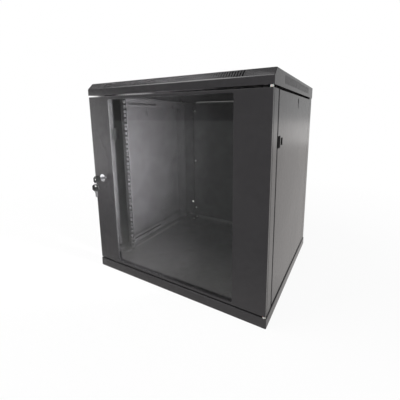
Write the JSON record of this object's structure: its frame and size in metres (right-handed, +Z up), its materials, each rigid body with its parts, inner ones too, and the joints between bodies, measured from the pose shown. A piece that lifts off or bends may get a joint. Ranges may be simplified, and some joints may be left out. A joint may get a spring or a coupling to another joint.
{
  "type": "wall_mount_network_cabinet",
  "caption": "Black wall mount 19-inch network cabinet with a lockable glass door, lift-off side panels, vented roof and floor, and adjustable square-hole rack rails",
  "frame": {"origin": "centre of the underside of the base, on the plane the cabinet stands on", "axes": "+X to the right seen from the front, +Y to the rear and into the wall, +Z up; the door is at -Y"},
  "size_m": [0.6, 0.539, 0.62],
  "materials": {
    "powder_coat": "semi-gloss black powder coat",
    "zinc_plate": "bright zinc plating",
    "lock_chrome": "polished chrome",
    "clear_glass": "clear toughened glass",
    "black_plastic": "moulded black nylon",
    "white_nylon": "natural white nylon",
    "rubber_pad": "soft black rubber"
  },
  "bodies": {
    "root": {"roof_cover": "powder_coat", "base_tray": "powder_coat", "roof_entry_cover": "powder_coat", "floor_entry_cover": "powder_coat", "front_post_left": "powder_coat", "front_post_right": "powder_coat", "rear_post_left": "powder_coat", "rear_post_right": "powder_coat", "back_panel": "powder_coat", "depth_rail_lower_left": "powder_coat", "depth_rail_lower_right": "powder_coat", "depth_rail_upper_left": "powder_coat", "depth_rail_upper_right": "powder_coat", "rack_rail_left": "powder_coat", "rack_rail_right": "powder_coat", "door_bumpers": "rubber_pad", "frame_bolts": "zinc_plate", "frame_nuts": "zinc_plate", "rack_rail_bolts": "zinc_plate", "rack_rail_nuts": "zinc_plate", "upper_pivot_bush": "white_nylon", "lower_pivot_bush": "white_nylon"},
    "door": {"door_frame": "powder_coat", "glass_tape": "rubber_pad", "door_glass": "clear_glass", "upper_pivot_bracket": "zinc_plate", "lower_pivot_bracket": "zinc_plate", "lower_pivot_pin": "zinc_plate", "pivot_spring": "zinc_plate", "lock_body": "lock_chrome", "lock_nut": "lock_chrome"},
    "pivot_pin": {"upper_pivot_pin": "zinc_plate"},
    "lock_cylinder": {"lock_plug": "lock_chrome", "lock_cam": "zinc_plate", "cam_screw": "zinc_plate"},
    "key": {"key_head": "black_plastic", "key_blade": "lock_chrome"},
    "ring": {"key_ring": "lock_chrome"},
    "spare_key": {"spare_key_head": "black_plastic", "spare_key_blade": "lock_chrome"},
    "panel_left": {"side_panel_left": "powder_coat", "edge_latch_housing_left": "black_plastic", "top_latch_guide_left": "powder_coat"},
    "panel_right": {"side_panel_right": "powder_coat", "edge_latch_housing_right": "black_plastic", "top_latch_guide_right": "powder_coat"},
    "edge_bolt_left": {"edge_latch_bolt_left": "black_plastic"},
    "edge_bolt_right": {"edge_latch_bolt_right": "black_plastic"},
    "top_strip_left": {"top_latch_strip_left": "powder_coat"},
    "top_strip_right": {"top_latch_strip_right": "powder_coat"}
  },
  "joints": [
    {"name": "door_hinge", "type": "hinge", "parent": "root", "child": "door", "pos_m": [0.2935, -0.2455, 0.3041], "axis": [0, 0, 1], "range_deg": [0, 180]},
    {"name": "lock_turn", "type": "hinge", "parent": "door", "child": "lock_cylinder", "pos_m": [-0.258, -0.245, 0.32], "axis": [0, 1, 0], "range_deg": [0, 90]},
    {"name": "key_pull", "type": "slide", "parent": "lock_cylinder", "child": "key", "axis": [0, -1, 0], "range_m": [0, 0.024]},
    {"name": "ring_swing", "type": "hinge", "parent": "key", "child": "ring", "pos_m": [-0.258, -0.2799, 0.3187], "axis": [0.9397, -0.342, 0], "range_deg": [-40, 25]},
    {"name": "spare_key_swing", "type": "hinge", "parent": "ring", "child": "spare_key", "pos_m": [-0.258, -0.2799, 0.3007], "axis": [0.9397, -0.342, 0], "range_deg": [-25, 25]},
    {"name": "pivot_pin_slide", "type": "slide", "parent": "door", "child": "pivot_pin", "axis": [0, 0, -1], "range_m": [0, 0.011], "stiffness_N_per_m": 300, "deforming": ["pivot_spring"]},
    {"name": "panel_tilt_left", "type": "hinge", "parent": "root", "child": "panel_left", "pos_m": [-0.2968, 0.003, 0.0273], "axis": [0, -1, 0], "range_deg": [0, 25]},
    {"name": "edge_latch_slide_left", "type": "slide", "parent": "panel_left", "child": "edge_bolt_left", "axis": [0, -1, 0], "range_m": [0, 0.008]},
    {"name": "top_latch_slide_left", "type": "slide", "parent": "panel_left", "child": "top_strip_left", "axis": [0, 0, 1], "range_m": [0, 0.013]},
    {"name": "panel_tilt_right", "type": "hinge", "parent": "root", "child": "panel_right", "pos_m": [0.2968, 0.003, 0.0273], "axis": [0, 1, 0], "range_deg": [0, 25]},
    {"name": "edge_latch_slide_right", "type": "slide", "parent": "panel_right", "child": "edge_bolt_right", "axis": [0, -1, 0], "range_m": [0, 0.008]},
    {"name": "top_latch_slide_right", "type": "slide", "parent": "panel_right", "child": "top_strip_right", "axis": [0, 0, 1], "range_m": [0, 0.013]}
  ]
}
